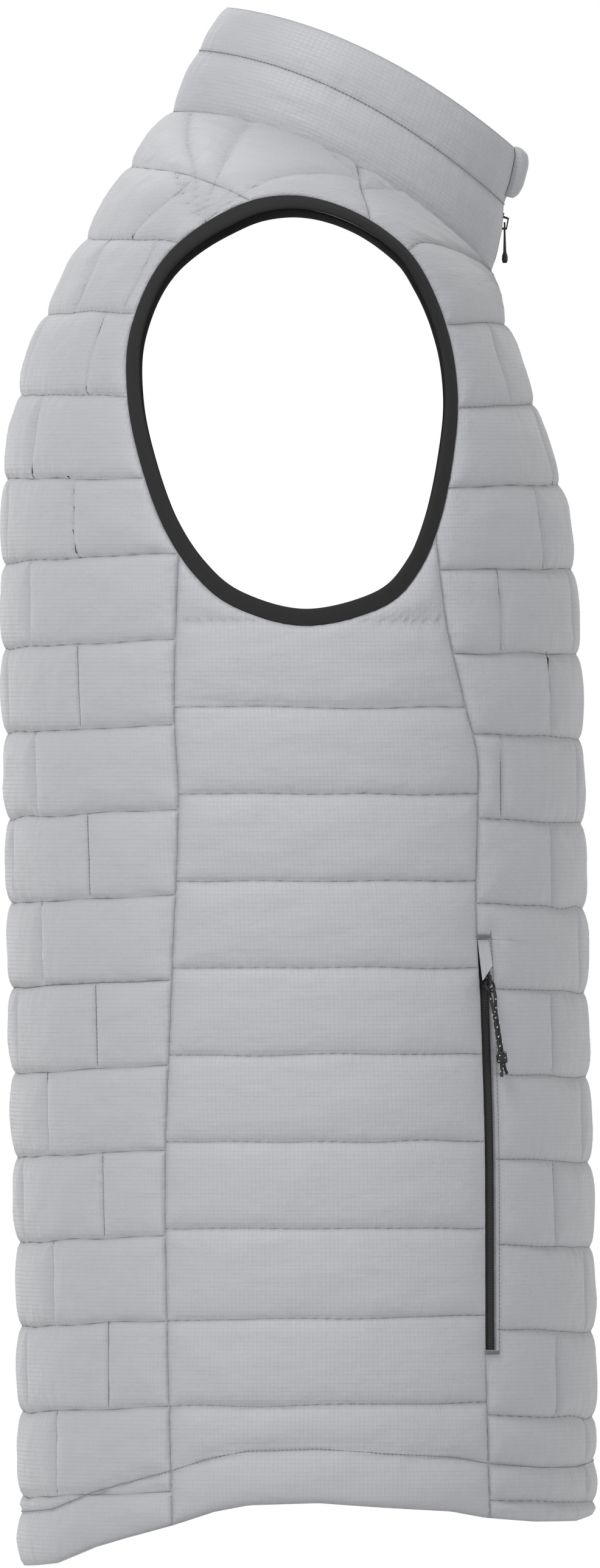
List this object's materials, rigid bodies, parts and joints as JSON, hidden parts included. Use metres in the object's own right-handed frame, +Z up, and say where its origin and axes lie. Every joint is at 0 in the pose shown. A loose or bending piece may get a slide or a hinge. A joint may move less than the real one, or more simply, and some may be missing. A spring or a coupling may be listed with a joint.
{
  "type": "quilted vest",
  "caption": "Sleeveless padded vest with a stand collar, full front zip, zipped side pockets and a dropped back hem, filled out as worn and hollow inside.",
  "frame": {"origin": "between the shoulders, level with the side of the neck, where the wearer's shoulders carry the vest", "axes": "+Z up, the front faces -Y, the wearer's right side is -X"},
  "size_m": [0.4422, 0.3001, 0.7813],
  "materials": {
    "shell_fabric": "light cool-grey ripstop with a soft sheen",
    "binding_stretch": "matt black stretch binding",
    "zip_tape": "black woven tape with black coil teeth",
    "slider_metal": "satin black",
    "pull_plastic": "moulded matt black",
    "pull_metal": "satin black wire",
    "cord_braid": "black braid with pale flecks"
  },
  "bodies": {
    "vest": {"back_panel": "shell_fabric", "collar": "shell_fabric", "chin_guard": "shell_fabric", "front_zip_slider": "slider_metal", "front_panel_right": "shell_fabric", "front_panel_left": "shell_fabric", "side_panel_right": "shell_fabric", "side_panel_left": "shell_fabric", "armhole_binding_right": "binding_stretch", "armhole_binding_left": "binding_stretch", "front_zip_tape_right": "zip_tape", "front_zip_tape_left": "zip_tape", "pocket_zip_right": "zip_tape", "pocket_zip_left": "zip_tape", "pocket_garage_right": "shell_fabric", "pocket_garage_left": "shell_fabric", "pocket_slider_right": "slider_metal", "pocket_slider_left": "slider_metal"},
    "front_pull": {"front_zip_pull": "pull_plastic"},
    "pocket_pull_right": {"pocket_pull_right": "pull_metal", "pocket_cord_right": "cord_braid", "pocket_knot_right": "cord_braid"},
    "pocket_pull_left": {"pocket_pull_left": "pull_metal", "pocket_cord_left": "cord_braid", "pocket_knot_left": "cord_braid"}
  },
  "joints": [
    {"name": "front_pull_swing", "type": "hinge", "parent": "vest", "child": "front_pull", "pos_m": [0, -0.10361, -0.04123], "axis": [-1, 0, 0], "range_deg": [0, 140]},
    {"name": "pocket_pull_right_swing", "type": "hinge", "parent": "vest", "child": "pocket_pull_right", "pos_m": [-0.17437, -0.09463, -0.42039], "axis": [-0.7389, 0.6691, -0.0793], "range_deg": [0, 115]},
    {"name": "pocket_pull_left_swing", "type": "hinge", "parent": "vest", "child": "pocket_pull_left", "pos_m": [0.17437, -0.09463, -0.42039], "axis": [-0.7389, -0.6691, 0.0793], "range_deg": [0, 115]}
  ]
}
